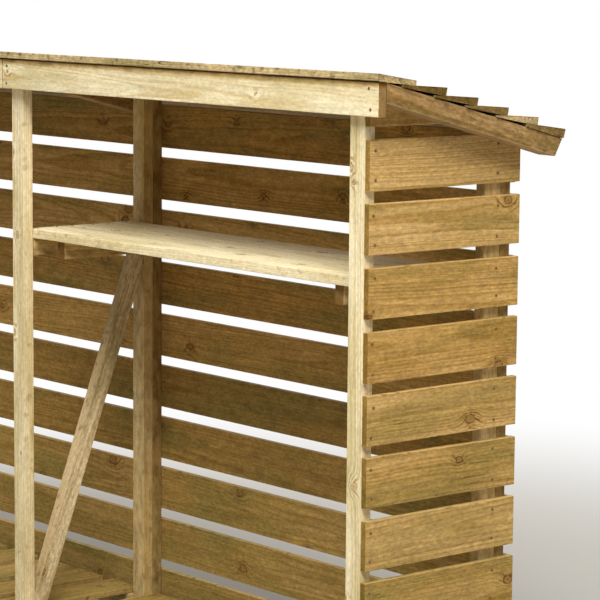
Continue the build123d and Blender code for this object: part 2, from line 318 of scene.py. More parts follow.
    # where the board lay in its trunk
    drift = add("ShaderNodeMath MULTIPLY", [swings[1][0], look["trunkDrift"]])
    drift = add("ShaderNodeMath MULTIPLY", [drift, along])
    trunkX = add("ShaderNodeMath MULTIPLY_ADD", [rolls[1][0], look["trunkSpan"], along])
    aside = add("ShaderNodeMath MULTIPLY", [swings[1][1], given["Width"]])
    deep = add("ShaderNodeMath MULTIPLY", [
        add("ShaderNodeMath ADD", [rolls[1][2], look["heartLeast"]]), given["Heart"]])
    trunkY, trunkZ = (add("ShaderNodeMath ADD", [add("ShaderNodeMath ADD", pair), drift])
                      for pair in ([sawnY, aside], [sawnZ, deep]))
    grain = add("ShaderNodeCombineXYZ", [trunkX, trunkY, trunkZ])
    toEnd = add("ShaderNodeVectorMath MULTIPLY", [add("ShaderNodeVectorMath SUBTRACT", [half, size]), whole])
    toEnd = add("ShaderNodeSeparateXYZ", [toEnd]).outputs[0]
    toSides = add("ShaderNodeVectorMath SUBTRACT", [reach, add("ShaderNodeVectorMath ABSOLUTE", [sawn])])
    toSides = add("ShaderNodeSeparateXYZ", [toSides]).outputs
    place = add("ShaderNodeCombineXYZ", [toEnd, toSides[1], toSides[2]])
    brown = add("ShaderNodeMath MULTIPLY_ADD", [swings[2][0], given["Tone spread"], given["Tone"]])
    fromTop = add("ShaderNodeMath SUBTRACT", [1.0, share])
    brown = add("ShaderNodeMath MULTIPLY_ADD", [fromTop, given["Foot tone"], brown])
    # the top edge browns: painted shade where something above shades it, with some stain
    topShadeAndStain = add("ShaderNodeMapRange", [ratio, look["edgeToneFrom"], 1.0, 0.0, given["Edge tone"]], **smooth)
    brown = add("ShaderNodeMath ADD", [brown, topShadeAndStain])
    for name, value, kind in (("grain", grain, "FLOAT_VECTOR"), ("place", place, "FLOAT_VECTOR"),
                              ("tint", brown, "FLOAT")):
        boards = add("GeometryNodeStoreNamedAttribute", {
            "Geometry": boards, "Name": name, "Value": value}, data_type=kind)

    final = given["Origin"]
    for direction, distance in (("Along", along), ("Across", across), ("Through", through)):
        step = add("ShaderNodeVectorMath SCALE", {0: given[direction], "Scale": distance})
        final = add("ShaderNodeVectorMath ADD", [final, step])
    boards = add("GeometryNodeSetPosition", {"Geometry": boards, "Position": final})
    for name in ("unit", "number"):
        boards = add("GeometryNodeRemoveAttribute", {"Geometry": boards, "Name": name})
    boards = add("GeometryNodeRealizeInstances", [boards])
    boards = add("GeometryNodeSetMaterial", {"Geometry": boards, "Material": given["Material"]})
    add("NodeGroupOutput", [boards])
    return tree


def bakeTree(name, tree, values, mesh=None):
    # evaluates the tree once and keeps the result as a plain mesh
    holder = newObject(name + "Maker", mesh or bpy.data.meshes.new(name + "Maker"))
    modifier = holder.modifiers.new("maker", "NODES")
    modifier.node_group = tree
    for item in tree.interface.items_tree:
        if item.in_out == "INPUT" and item.name in values:
            modifier[item.identifier] = values[item.name]
    graph = bpy.context.evaluated_depsgraph_get()
    result = bpy.data.meshes.new_from_object(holder.evaluated_get(graph))
    bpy.data.objects.remove(holder)
    result.name = name
    result.set_sharp_from_angle(angle=sharpAngle)
    return newObject(name, result)


sharpAngle = math.radians(24)  # bends below it are shaded smooth
axes = {"x": Vector((1, 0, 0)), "y": Vector((0, 1, 0)), "z": Vector((0, 0, 1))}
plainTimber = {
    "Start cut": (0, 0, 0), "End cut": (0, 0, 0), "Count": 1, "Pitch": 0.0,
    "Roof line": 1000.0, "Roof fall": 0.001, "Wedge tip": 0.0,  # a roof line out of reach
    "Columns": 7, "Arris": 1.2 * mm, "Wear": 1.0 * mm, "Uneven": 0.5 * mm, "Ragged": 0.6 * mm,
    "Bow": (0, 0, 0), "Feather": 0.0, "Slip": (0, 0, 0), "Heart": 50 * mm,
    "Tone": 0.0, "Tone spread": 0.2, "Foot tone": 0.0, "Edge tone": 0.0,
}


sides = ("left", "middle", "right")


def pieceName(node):
    # front_post_left becomes frontPost.left
    first, *words = node.split("_")
    end = "." + words.pop() if words[-1] in sides or words[-1].isdigit() else ""
    return first + "".join(word.capitalize() for word in words) + end


def makeTimber(node, wood, values, step=20 * mm):
    # fills in the tree's inputs that are the same for every timber; wood is a material and its slot, and the slot is
    # not used
    made = {**plainTimber, **values, "Material": wood[0]}
    made["Steps"] = max(4, int(made["Length"] / step) + 1)
    for key, value in made.items():
        if isinstance(value, Vector):
            made[key] = tuple(value)
    return bakeTree(pieceName(node), timberTree, made)


def handOver(piece, node):
    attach(piece, "root")
    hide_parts(node)


def layTimber(node, wood, values, step=20 * mm):
    handOver(makeTimber(node, wood, values, step), node)


def barValues(node, alongAxis, acrossAxis, rows=1, pitch=0.0):
    # a straight bar or row of bars that fills the node's box
    low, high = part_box(node)
    along, across = axes[alongAxis], axes[acrossAxis]
    through = along.cross(across)
    size = high - low
    centre = (low + high) / 2
    width = abs(size.dot(across)) - (rows - 1) * pitch
    origin = centre - along * abs(size.dot(along)) / 2 - across * (rows - 1) * pitch / 2
    return {"Origin": origin, "Along": along, "Across": across, "Through": through,
            "Length": abs(size.dot(along)), "Width": width, "Thickness": abs(size.dot(through)),
            "Count": rows, "Pitch": pitch}


def layBars(node, wood, look, *shape):
    # lays the bars and tells where the first one starts and the node's box
    values = barValues(node, *shape)
    layTimber(node, wood, {**values, **look})
    return values["Origin"], *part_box(node)


def middleOf(node):
    low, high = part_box(node)
    return (low + high) / 2


# Wood. Softwood sawn from small pine: broad growth rings with a dark late edge, many small knots,
# and the green-gold cast of copper salts pressed in as a preservative.
woodPatterns = {  # length along the grain, width across it, then the noise's detail, roughness and distortion
    "fibre": (55.6 * mm, 0.91 * mm, 2.0, 0.6, 0.0),  # wider than real fibres, which are too fine to show
    "streak": (285.7 * mm, 6.25 * mm, 3.0, 0.55, 0.0),
    "check": (400 * mm, 13.33 * mm, 1.0, 0.5, 0.0),
    "blotch": (333.3 * mm, 62.5 * mm, 3.0, 0.5, 0.4),
    "mottle": (11.11 * mm, 4.76 * mm, 4.0, 0.65, 0.0),
    "grime": (33.33 * mm, 16.67 * mm, 4.0, 0.6, 0.0),
}
swayPattern = (625 * mm, 111.1 * mm)  # how soon the rings sway, along and across the grain
knotPatterns = {"outline": 10 * mm, "bark": 4.348 * mm, "edge": 22.22 * mm}
ramps = {  # where each thing starts and where it is full: in its noise, in a year's growth, or in place
    "streak": (0.25, 0.75), "fibre": (0.25, 0.75), "mottle": (0.35, 0.65), "grime": (0.42, 0.66),
    "green": (0.42, 0.72), "cracked": (0.5, 0.62), "check": (0.006, 0.001), "speck": (0.6, 0.68),
    "rough": (0.2, 0.8), "gold": (0.0, 0.5), "brown": (0.5, 1.0), "dark": (0.0, 0.4),
    "lateWood": (0.3, 0.9), "newYear": (1.0, 0.94), "darkYear": (0.3, 0.7), "barkWidth": (0.35, 0.65),
    "inKnot": (0.9 * mm, -0.9 * mm), "bark": (1.0, 0.1), "pith": (2.2 * mm, 0.6 * mm),
    "face": (0.5 * mm, 3.5 * mm), "arris": (3.5 * mm, 0.5 * mm), "end": (0.5 * mm, 0.02 * mm),
}
pine = {
    "knotLength": 0.75,  # distance along the grain counts less, so a knot is longer that way
    "knotWobble": 9 * mm, "haloWobble": 24 * mm, "barkWidth": (0.5 * mm, 3 * mm),
    "bulgeReach": 2.1, "bulgeRise": 1.2,  # how the rings pass a knot, in its radii
    "yearScale": 0.35, "yearSwing": 2.4, "darkYearScale": 1.3, "paleYear": 0.35,
    "knotRing": 0.5 * mm, "rib": 0.55 * mm,  # radians of a sine: a knot's rings are 3.1 mm and the ribs 3.5 mm apart
    "ribSway": 1.5, "knotRingDepth": 0.55, "pithDepth": 0.8, "knotCover": 0.8, "endCreep": 0.5,
    "fibreHeight": 0.3, "lateHeight": 0.12, "checkHeight": -0.6, "barkHeight": -0.15,
    "ior": 1.5, "gloss": 0.12,  # a sawn face is all fibre ends, so it has hardly any highlight
}


def makeWood(name, look):
    material, add = newShader(bpy.data.materials.new(name))
    paint = {key: toLinear(value) for key, value in look.items() if isinstance(value, str)}
    grain = add("ShaderNodeAttribute", attribute_name="grain").outputs["Vector"]
    place = add("ShaderNodeAttribute", attribute_name="place").outputs["Vector"]
    tint = add("ShaderNodeAttribute", attribute_name="tint").outputs["Fac"]
    toEnd, toEdge, toFace = add("ShaderNodeSeparateXYZ", [place]).outputs

    # the trunk wandered as it grew, so the rings sway along the board
    slow = add("ShaderNodeVectorMath DIVIDE", [grain, (swayPattern[0], swayPattern[1], swayPattern[1])])
    slow = add("ShaderNodeTexNoise", {"Vector": slow, "Scale": 1.0, "Detail": 2.0}).outputs["Color"]
    sway = look["ringSway"]
    bent = add("ShaderNodeVectorMath MULTIPLY_ADD", [slow, (0, sway, sway), grain])

    # knots: one branch in some cells of the board's face, right through its thickness
    cell = Vector((look["knotEvery"], look["knotAside"], 0))
    knotPlane = add("ShaderNodeVectorMath MULTIPLY", [grain, (1 / cell.x, 1 / cell.y, 0)])
    branch = add("ShaderNodeTexVoronoi", {"Vector": knotPlane, "Scale": 1.0}, voronoi_dimensions="2D").outputs
    apart = add("ShaderNodeVectorMath SUBTRACT", [knotPlane, branch["Position"]])
    apart = add("ShaderNodeVectorMath MULTIPLY", [apart, (cell.x * pine["knotLength"], cell.y, 0)])
    knotNoise = add("ShaderNodeTexNoise", {"Vector": grain, "Scale": 1 / knotPatterns["outline"], "Detail": 3.0})
    fromKnot = add("ShaderNodeVectorMath LENGTH", [apart]).outputs["Value"]
    wobble = pine["knotWobble"]
    wobbled = add("ShaderNodeMath MULTIPLY_ADD", [knotNoise, wobble, -wobble / 2])
    fromKnot = add("ShaderNodeMath ADD", [fromKnot, wobbled])
    chance = add("ShaderNodeSeparateXYZ", [branch["Color"]]).outputs[0]
    clear = 1 - look["knotShare"]
    knotRadius = add("ShaderNodeMapRange", [chance, clear, 1.0, look["knotSmall"], look["knotLarge"]])
    hasKnot = add("ShaderNodeMath GREATER_THAN", [chance, clear])
    knotRadius = add("ShaderNodeMath MULTIPLY", [knotRadius, hasKnot])
    onFace = add("ShaderNodeMapRange", [toEdge, *ramps["face"]])
    hasKnot = add("ShaderNodeMath MULTIPLY", [hasKnot, onFace])
    beyond = add("ShaderNodeMath SUBTRACT", [fromKnot, knotRadius])
    inKnot = add("ShaderNodeMapRange", [beyond, *ramps["inKnot"]], **smooth)
    inKnot = add("ShaderNodeMath MULTIPLY", [inKnot, hasKnot])
    barkNoise = add("ShaderNodeTexNoise", {"Vector": grain, "Scale": 1 / knotPatterns["bark"], "Detail": 2.0})
    barkWidth = add("ShaderNodeMapRange", [barkNoise, *ramps["barkWidth"], *pine["barkWidth"]])
    bark = add("ShaderNodeMath DIVIDE", [add("ShaderNodeMath ABSOLUTE", [beyond]), barkWidth])
    bark = add("ShaderNodeMapRange", [bark, *ramps["bark"]], **smooth)
    bark = add("ShaderNodeMath MULTIPLY", [bark, hasKnot])
    spread = add("ShaderNodeMath MULTIPLY_ADD", [knotRadius, pine["bulgeReach"], 1 * mm])
    bulge = add("ShaderNodeMath DIVIDE", [fromKnot, spread])
    bulge = add("ShaderNodeMath MULTIPLY", [bulge, bulge])
    bulge = add("ShaderNodeMath EXPONENT", [add("ShaderNodeMath MULTIPLY", [bulge, -1.0])])
    rise = add("ShaderNodeMath MULTIPLY", [knotRadius, pine["bulgeRise"]])
    bulge = add("ShaderNodeMath MULTIPLY", [bulge, rise])

    # growth rings round the heart of the trunk
    bentY, bentZ = add("ShaderNodeSeparateXYZ", [bent]).outputs[1:3]
    radial = add("ShaderNodeCombineXYZ", [0.0, bentY, bentZ])
    radius = add("ShaderNodeVectorMath LENGTH", [radial]).outputs["Value"]
    radius = add("ShaderNodeMath ADD", [radius, bulge])
    years = add("ShaderNodeMath DIVIDE", [radius, look["ringWidth"]])
    yearNoise = add("ShaderNodeTexNoise", {"W": years, "Scale": pine["yearScale"], "Detail": 1.0},
                    noise_dimensions="1D")
    years = add("ShaderNodeMath MULTIPLY_ADD", [yearNoise, pine["yearSwing"], years])
    season = add("ShaderNodeMath FRACT", [years])
    late = add("ShaderNodeMapRange", [season, *ramps["lateWood"]], **smooth)
    early = add("ShaderNodeMapRange", [season, *ramps["newYear"]])
    late = add("ShaderNodeMath MULTIPLY", [late, early])
    strength = add("ShaderNodeTexNoise", {"W": years, "Scale": pine["darkYearScale"], "Detail": 0.0},
                   noise_dimensions="1D")
    strength = add("ShaderNodeMapRange", [strength, *ramps["darkYear"], pine["paleYear"]])
    late = add("ShaderNodeMath MULTIPLY", [late, strength])

    # fibres, streaks and drying checks bend with the rings; blotches of preservative, mottle and grime don't
    noises = {}
    for pattern, (length, width, detail, rough, distortion) in woodPatterns.items():
        source = bent if pattern in ("fibre", "streak", "check") else grain
        spot = add("ShaderNodeVectorMath DIVIDE", [source, (length, width, width)])
        noises[pattern] = add("ShaderNodeTexNoise", {
            "Vector": spot, "Scale": 1.0, "Detail": detail, "Roughness": rough, "Distortion": distortion})
    fibre, streak, check, blotch, mottle, grime = noises.values()

    # by its tint the wood runs from pale through gold to brown, in patches and round knots;
    # late growth is a darker line, most of all where it bends round a knot
    halo = add("ShaderNodeMath SUBTRACT", [beyond, pine["haloWobble"] / 2])
    halo = add("ShaderNodeMath MULTIPLY_ADD", [knotNoise, pine["haloWobble"], halo])
    halo = add("ShaderNodeMapRange", [halo, 0.0, look["haloReach"], 1.0, 0.0], **smooth)
    halo = add("ShaderNodeMath MULTIPLY", [halo, hasKnot])
    swirl = add("ShaderNodeMath MULTIPLY", [late, halo])
    brownness = add("ShaderNodeMath MULTIPLY_ADD", [halo, look["haloTone"], tint])
    patch = add("ShaderNodeMath MULTIPLY_ADD", [blotch, look["patchTone"], -0.5 * look["patchTone"]])
    brownness = add("ShaderNodeMath ADD", [brownness, patch])
    golden = add("ShaderNodeMapRange", [brownness, *ramps["gold"]])
    browned = add("ShaderNodeMapRange", [brownness, *ramps["brown"]])
    # greener near the foot, where it stays damp
    height = add("ShaderNodeSeparateXYZ", [add("ShaderNodeTexCoord").outputs["Object"]]).outputs[2]
    damp = add("ShaderNodeMapRange", [height, look["dampTop"], 0.0, 0.0, look["dampShare"]])
    green = add("ShaderNodeMapRange", [blotch, *ramps["green"], 0.0, look["greenShare"]], **smooth)
    green = add("ShaderNodeMath ADD", [green, damp], use_clamp=True)
    colour = paint["pale"]
    for share, over, blend in ((golden, "gold", "MIX"), (browned, "brown", "MIX"), (late, "late", "MULTIPLY"),
                               (swirl, "swirl", "MULTIPLY"), (green, "green", "MIX")):
        colour = add("ShaderNodeMix", {0: share, 6: colour, 7: paint[over]}, data_type="RGBA",
                     blend_type=blend).outputs[2]
    shade = 1.0
    for pattern, noise in (("streak", streak), ("fibre", fibre), ("mottle", mottle)):
        depth = look[pattern + "Depth"]
        swing = add("ShaderNodeMapRange", [noise, *ramps[pattern], 1 - depth, 1 + depth])
        shade = add("ShaderNodeMath MULTIPLY", [shade, swing])
    colour = add("ShaderNodeVectorMath SCALE", {0: colour, "Scale": shade}).outputs[0]
    grime = add("ShaderNodeMapRange", [grime, *ramps["grime"], 0.0, look["grimeShare"]])
    grime = add("ShaderNodeMath MULTIPLY", [grime, tint])

    # knots: a ring of bark, which holds wood with rings of its own and a small dark heart
    knotRings = add("ShaderNodeMath SINE", [add("ShaderNodeMath DIVIDE", [fromKnot, pine["knotRing"]])])
    knotRings = add("ShaderNodeMapRange", [knotRings, -1.0, 1.0, 0.0, pine["knotRingDepth"]])
    pith = add("ShaderNodeMapRange", [fromKnot, *ramps["pith"], 0.0, pine["pithDepth"]])
    knotRings = add("ShaderNodeMath MAXIMUM", [knotRings, pith])
    paint["knot"] = add("ShaderNodeMix", {0: knotRings, 6: paint["knotHeart"], 7: paint["knotBark"]},
                        data_type="RGBA").outputs[2]
    knotShare = add("ShaderNodeMath MULTIPLY", [inKnot, pine["knotCover"]])
    barkShare = add("ShaderNodeMath MULTIPLY", [bark, look["barkDepth"]])

    # end grain drinks more stain, though a pale board's end takes less of it
    atEnd = add("ShaderNodeMapRange", [toEnd, *ramps["end"]])
    nearEnd = add("ShaderNodeMapRange", [toEnd, look["endStain"], 0.0, 0.0, pine["endCreep"]])
    nearEnd = add("ShaderNodeMath MULTIPLY", [nearEnd, streak])
    depth = look["endDepth"]
    endDepth = add("ShaderNodeMapRange", [tint, *ramps["dark"], depth * look["endPale"], depth])
    endShare = add("ShaderNodeMath MAXIMUM", [add("ShaderNodeMath MULTIPLY", [atEnd, endDepth]), nearEnd])

    # sawn arrises catch dirt and algae, and where they are paler that is painted highlight, with some bruising
    rimDistance = add("ShaderNodeMath MAXIMUM", [toEdge, toFace])
    edgeNoise = add("ShaderNodeTexNoise", {"Vector": grain, "Scale": 1 / knotPatterns["edge"], "Detail": 3.0})
    edgeReach = add("ShaderNodeMath MULTIPLY", [edgeNoise, look["edgeReach"]])
    arrisLightAndDirt = add("ShaderNodeMath SUBTRACT", [1.0, add("ShaderNodeMath DIVIDE", [rimDistance, edgeReach])])
    arrisLightAndDirt = add("ShaderNodeMapRange", [arrisLightAndDirt, 0.0, 1.0, 0.0, look["edgeShare"]])
    onArris = add("ShaderNodeMapRange", [rimDistance, *ramps["arris"]])
    specks = add("ShaderNodeMapRange", [edgeNoise, *ramps["speck"], 0.0, look["specks"]])
    specks = add("ShaderNodeMath MULTIPLY", [specks, onArris])

    # fine drying checks along the grain
    check = add("ShaderNodeMath ABSOLUTE", [add("ShaderNodeMath SUBTRACT", [check, 0.5])])
    check = add("ShaderNodeMapRange", [check, *ramps["check"]])
    cracked = add("ShaderNodeMapRange", [blotch, *ramps["cracked"], 0.0, look["checks"]])
    check = add("ShaderNodeMath MULTIPLY", [check, cracked])
    for share, over, blend in ((grime, "grime", "MIX"), (knotShare, "knot", "MIX"), (barkShare, "knotBark", "MIX"),
                               (endShare, "endGrain", "MULTIPLY"), (arrisLightAndDirt, "edge", "MIX"),
                               (specks, "knotBark", "MIX"), (check, "knotBark", "MIX")):
        colour = add("ShaderNodeMix", {0: share, 6: colour, 7: paint[over]}, data_type="RGBA",
                     blend_type=blend).outputs[2]

    # the bandsaw's teeth leave faint ribs across the board
    ribs = add("ShaderNodeSeparateXYZ", [grain]).outputs[0]
    ribs = add("ShaderNodeMath DIVIDE", [ribs, pine["rib"]])
    ribs = add("ShaderNodeMath SINE", [add("ShaderNodeMath MULTIPLY_ADD", [streak, pine["ribSway"], ribs])])
    height = add("ShaderNodeMath MULTIPLY", [fibre, pine["fibreHeight"]])
    for share, rise in ((late, pine["lateHeight"]), (ribs, look["sawRibs"]), (check, pine["checkHeight"]),
                        (bark, pine["barkHeight"])):
        height = add("ShaderNodeMath MULTIPLY_ADD", [share, rise, height])
    relief = add("ShaderNodeBump", {"Height": height, "Distance": mm, "Strength": look["relief"]})
    rough = add("ShaderNodeMapRange", [streak, *ramps["rough"], look["roughLow"], look["roughHigh"]])
    surface = add("ShaderNodeBsdfPrincipled", {
        "Base Color": colour, "Roughness": rough, "Normal": relief, "IOR": pine["ior"],
        "Specular IOR Level": pine["gloss"]})
    add("ShaderNodeOutputMaterial", [surface])
    return material


# pale planed and sawn framing: cream with a faint green cast, browner where it has been out longer
framingLook = {
    "pale": "#f5e8c2", "gold": "#cfb074", "brown": "#8d6c3e", "late": "#ece0c6", "patchTone": 0.5,
    "green": "#bfb070", "greenShare": 0.4, "dampTop": 700 * mm, "dampShare": 0.2,
    "grime": "#5a3e1b", "grimeShare": 0.85,
    "streakDepth": 0.12, "fibreDepth": 0.13, "mottleDepth": 0.12, "ringWidth": 3.2 * mm, "ringSway": 14 * mm,
    "knotEvery": 200 * mm, "knotAside": 70 * mm, "knotShare": 0.55, "knotSmall": 1.0 * mm, "knotLarge": 8 * mm,
    "knotHeart": "#e0c084", "knotBark": "#6e4a22", "barkDepth": 0.4, "haloReach": 16 * mm, "haloTone": -0.25,
    "swirl": "#b98c4e",
    "endGrain": "#90703a", "endDepth": 0.9, "endPale": 1.0, "endStain": 10 * mm,
    "edge": "#c3a060", "edgeReach": 4.0 * mm, "edgeShare": 0.4, "specks": 0.35,
    "checks": 0.4, "sawRibs": 0.05, "relief": 0.8, "roughLow": 0.68, "roughHigh": 0.9,
}
# the same timber where rain has reached it: grey-brown, with pale arrises that are partly painted highlight and
# partly bruised, and some algae
weatheredLook = {
    **framingLook,
    "pale": "#d6c096", "gold": "#ae8a57", "brown": "#7d5f3a", "late": "#ddd0b8", "patchTone": 1.2,
    "green": "#7c7036", "greenShare": 0.6, "grime": "#523c22", "grimeShare": 0.7,
    "streakDepth": 0.18, "fibreDepth": 0.16, "mottleDepth": 0.3,
    "knotHeart": "#a98650", "knotBark": "#4f3a20", "barkDepth": 0.7, "haloTone": 0.2,
    "edge": "#c0a274", "edgeReach": 8.0 * mm, "edgeShare": 0.6, "specks": 0.6,
}
# golden brown sawn boards
boardLook = {
    **framingLook,
    "pale": "#d2af74", "gold": "#b88f4c", "brown": "#866530", "late": "#ddd2b6", "patchTone": 0.8,
    "green": "#8b8045", "greenShare": 0.45, "dampShare": 0.5, "grime": "#5e4422", "grimeShare": 0.5,
    "streakDepth": 0.2, "fibreDepth": 0.18, "mottleDepth": 0.22, "ringWidth": 4.2 * mm, "ringSway": 18 * mm,
    "knotEvery": 240 * mm, "knotAside": 75 * mm, "knotShare": 0.36, "knotSmall": 3.0 * mm, "knotLarge": 10 * mm,
    "knotHeart": "#a87e45", "knotBark": "#4a2f14", "barkDepth": 0.75, "haloReach": 18 * mm, "haloTone": 0.15,
    "swirl": "#9a7444", "endGrain": "#bdb88f",
    # the paler rim along the boards' arrises is painted highlight
    "edge": "#d6b87c", "edgeReach": 3.5 * mm, "edgeShare": 0.5, "specks": 0.75, "checks": 0.6,
}
# roof boards, bleached by sun and green with algae in patches, along edges and at the ends
roofLook = {
    **boardLook,
    "pale": "#e0c498", "gold": "#a98a58", "brown": "#7c6238", "late": "#d9d3c1",
    "green": "#6f6a34", "greenShare": 0.5, "grime": "#4a3f1c", "grimeShare": 1.0,
    "streakDepth": 0.22, "fibreDepth": 0.2, "mottleDepth": 0.38, "barkDepth": 0.3,
    "endGrain": "#a3955c", "endPale": 0.5, "endStain": 40 * mm, "edge": "#857a3e", "edgeReach": 9 * mm,
    "checks": 1.0, "relief": 1.0, "roughLow": 0.8, "roughHigh": 0.95,
}
framingWood = makeWood("pressureTreatedFraming", framingLook), "treated_framing"
weatheredWood = makeWood("rainWeatheredFraming", weatheredLook), "treated_framing"
boardWood = makeWood("pressureTreatedBoards", boardLook), "treated_boards"
roofWood = makeWood("weatheredRoofBoards", roofLook), "weathered_roof_softwood"
timberTree = makeTimberTree(sawing)
print("wood made")

# Nails: flat round heads, driven just below the sawn face, each in a ring of crushed and iron-stained fibre
nails = {
    "Head radius": 2.1 * mm, "Head crown": 0.7 * mm, "Stain radius": 3.0 * mm, "Stain height": 0.3 * mm,
    "Jitter": 3 * mm, "Tilt": 0.08, "Seed": 7, "sides": 9, "rings": 5,
    "boardAside": 27 * mm, "boardEnd": 14 * mm, "slatEnd": 16 * mm, "slatAside": 24 * mm,
    "roofAside": (-12 * mm, 34 * mm), "roofSink": 0.9 * mm, "fasciaAside": 18 * mm,
    "fasciaInsets": {"fascia_left": (24 * mm, 14 * mm), "fascia_right": (14 * mm, 24 * mm)},
}
nailSpots = []  # place and the way the head faces


def nailPair(centre, facing, aside):
    nailSpots.extend([(centre + aside, facing), (centre - aside, facing)])


rakeFall = 0.26  # of the roof, for each metre to the back

# Posts
posts = {"tone": {"left": 0.12, "middle": 0.12, "right": 0.06}, "rearTone": 0.42, "uprightTone": 0.9,
         "footTone": 0.08, "columns": 5, "step": 25 * mm, "seeds": (11, 21, 31)}
for number, (side, tone) in enumerate(posts["tone"].items()):
    kinds = (("front_post_", "x", tone), ("rear_post_", "x" if side == "middle" else "y", posts["rearTone"]),
             ("back_upright_", "x", posts["uprightTone"]))
    for (node, axis, brown), seed in zip(kinds, posts["seeds"]):
        values = barValues(node + side, "z", axis)
        # the top follows the rake of the rafters, lower to the back
        onEdge = axis == "y"
        values["Length"] -= rakeFall * values["Width" if onEdge else "Thickness"] / 2
        values.update({"Tone": brown, "Tone spread": 0.0, "Foot tone": posts["footTone"], "Seed": seed + number,
                       "End cut": (0, -rakeFall, 0) if onEdge else (0, 0, -rakeFall),
                       "Columns": posts["columns"]})
        layTimber(node + side, framingWood, values, posts["step"])
print("posts made")

# Walls
walls = {
    "rows": 11, "backRows": 10, "pitch": 114 * mm, "boardWidth": 92 * mm, "step": 12 * mm,
    "sides": {"Wedge tip": 6 * mm, "Slip": (2 * mm, 2.5 * mm, 4 * mm), "Tone": 0.42, "Tone spread": 0.45,
              "Ragged": 1.8 * mm, "Columns": 12, "Bow": (0, 1 * mm, 0)},
    "seeds": {"left": 40, "right": 53},
    "back": {"Slip": (3 * mm, 2.5 * mm, 3 * mm), "Tone": 0.6, "Tone spread": 0.4, "Seed": 50},
}
halfBoard = walls["boardWidth"] / 2
boardAside = axes["z"] * nails["boardAside"]
for side, seed in walls["seeds"].items():
    node = "side_boards_" + side
    low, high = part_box(node)
    values = barValues(node, "y", "z")
    values["Origin"] = Vector((values["Origin"].x, low.y, low.z + halfBoard))
    values.update({**walls["sides"], "Width": walls["boardWidth"], "Count": walls["rows"],
                   "Pitch": walls["pitch"], "Roof line": high.z - low.z - halfBoard, "Roof fall": rakeFall,
                   "Seed": seed})
    layTimber(node, boardWood, values, walls["step"])
    outward, face = (-axes["x"], low.x) if side == "left" else (axes["x"], high.x)
    rearY = middleOf("rear_post_" + side).y
    for row in range(walls["rows"]):
        z = low.z + halfBoard + row * walls["pitch"]
        if row < walls["rows"] - 1:
            nailPair(Vector((face, rearY, z)), outward, boardAside)
        nailPair(Vector((face, low.y + nails["boardEnd"], z)), outward, -boardAside)
start, low, high = layBars("back_boards", boardWood, walls["back"], "x", "z", walls["backRows"], walls["pitch"])
for side in sides:
    x = middleOf("back_upright_" + side).x
    for row in range(walls["backRows"]):
        nailPair(Vector((x, high.y, low.z + halfBoard + row * walls["pitch"])), axes["y"], boardAside)
print("walls made")

# Base, floor and shelf
bars = {  # the way each one runs, and how brown it is
    "front_sill": ("x", 0.4), "back_sill_left": ("x", 0.45), "back_sill_right": ("x", 0.45),
    "base_rail_left": ("y", 0.45), "base_rail_middle": ("y", 0.45), "base_rail_right": ("y", 0.45),
    "shelf_rail_middle": ("y", 0.6), "shelf_rail_right": ("y", 0.45),
    "shelf_batten_left": ("y", 0.55), "shelf_batten_right": ("y", 0.4),
    "fascia_left": ("x", 0.2), "fascia_right": ("x", 0.16),
}
barLook = {"Tone spread": 0.1}
# the fascia browns towards its top: painted shade under the roof's front board, with some dirt
fasciaLook = {**barLook, "Edge tone": 0.7, "Columns": 15}
barSeed = 60
for number, (node, (alongAxis, tone)) in enumerate(bars.items()):
    lowInset, highInset = nails["fasciaInsets"].get(node, (0, 0))
    look = {**(fasciaLook if lowInset else barLook), "Tone": tone, "Seed": barSeed + number}
    start, low, high = layBars(node, framingWood, look, alongAxis, "z")
    if lowInset:
        for x in (low.x + lowInset, high.x - highInset):
            nailPair(Vector((x, low.y, (low.z + high.z) / 2)), -axes["y"], axes["z"] * nails["fasciaAside"])
floor = {
    "slats": 8, "pitch": 128 * mm, "seeds": {"left": 80, "right": 81}, "shelfBoards": 3, "shelfPitch": 91 * mm,
    "slatLook": {"Slip": (2 * mm, 5 * mm, 5 * mm), "Tone": 0.5, "Tone spread": 0.5},
    "shelfLook": {"Tone": 0.0, "Tone spread": 0.1, "Seed": 90},
}
for side, seed in floor["seeds"].items():
    look = {**floor["slatLook"], "Seed": seed}
    start, low, high = layBars("floor_slats_" + side, boardWood, look, "y", "x", floor["slats"], floor["pitch"])
    for slat in range(floor["slats"]):
        x = low.x + halfBoard + slat * floor["pitch"]
        for y in (low.y + nails["slatEnd"], high.y - nails["slatEnd"]):
            nailPair(Vector((x, y, high.z)), axes["z"], axes["x"] * nails["slatAside"])
start, low, high = layBars("shelf_boards", framingWood, floor["shelfLook"], "x", "y", floor["shelfBoards"],
                           floor["shelfPitch"])
for carrier in ("shelf_rail_middle", "shelf_rail_right"):
    for row in range(floor["shelfBoards"]):
        y = start.y + row * floor["shelfPitch"]
        nailPair(Vector((middleOf(carrier).x, y, high.z)), axes["z"], axes["y"] * nails["slatAside"])
print("base, floor and shelf made")

# Rafters and brace, which slope
slopes = {"height": 36 * mm, "endLean": 19 * mm, "seed": 100,
          "look": {"Tone": 0.64, "Foot tone": 0.12, "Edge tone": 0.25}}
rake, height = math.atan(rakeFall), slopes["height"]
for number, side in enumerate(sides):
    low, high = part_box("rafter_" + side)
    down = Vector((0, math.cos(rake), -math.sin(rake)))
    rise = Vector((0, math.sin(rake), math.cos(rake)))
    lean = 0.0 if side == "middle" else slopes["endLean"]
    run = high.y - low.y - lean / 2
    endSlope = (lean / height - math.sin(rake)) / math.cos(rake)
    origin = Vector(((low.x + high.x) / 2, low.y, high.z - height / math.cos(rake) / 2))
    layTimber("rafter_" + side, weatheredWood, {
        **slopes["look"], "Origin": origin, "Along": down, "Across": rise, "Through": down.cross(rise),
        "Length": run / math.cos(rake), "Width": height, "Thickness": high.x - low.x,
        "Start cut": (0, -math.tan(rake), 0), "End cut": (0, endSlope, 0), "Seed": slopes["seed"] + number})

